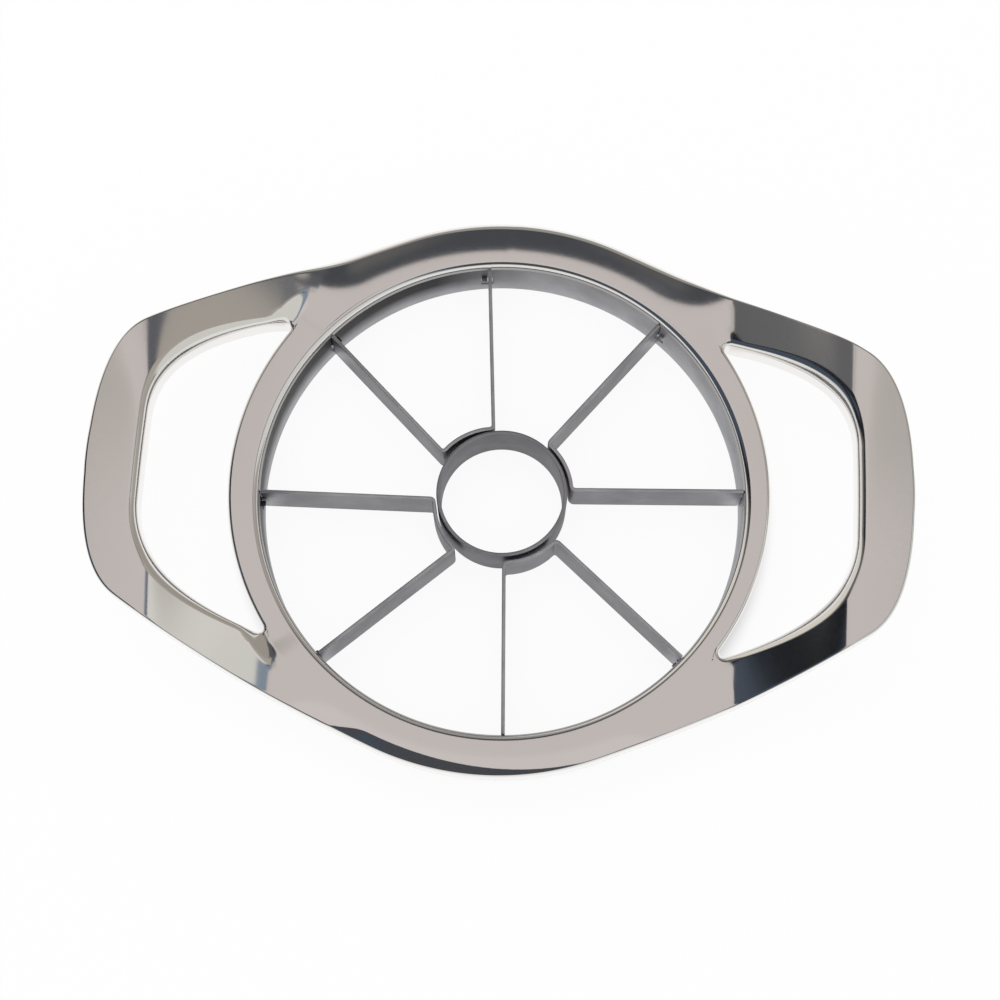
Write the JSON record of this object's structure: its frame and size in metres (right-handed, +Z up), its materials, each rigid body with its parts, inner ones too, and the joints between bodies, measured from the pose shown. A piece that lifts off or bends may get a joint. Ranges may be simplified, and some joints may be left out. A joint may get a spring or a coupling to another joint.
{
  "type": "apple slicer",
  "caption": "Polished metal ring with two raised loop handles, holding thin blades that run from a core ring to a blade ring; pressed down, it cuts an apple into wedges and its core",
  "frame": {"origin": "middle of the frame's outline seen from above, at the level of the blade ring's lower edge, on which the slicer stands", "axes": "X runs from handle to handle, Y across the ring, Z up out of the frame's polished face; the apple goes through along -Z"},
  "size_m": [0.1664, 0.1194, 0.023],
  "materials": {
    "polished_metal": "polished to a mirror, faintly warm",
    "satin_steel": "satin, as rolled"
  },
  "bodies": {
    "root": {"frame": "polished_metal", "blade_ring": "satin_steel", "core_ring": "satin_steel", "blade_strip_back": "satin_steel", "blade_strip_left": "satin_steel", "blade_strip_front": "satin_steel", "blade_strip_right": "satin_steel"}
  },
  "joints": []
}
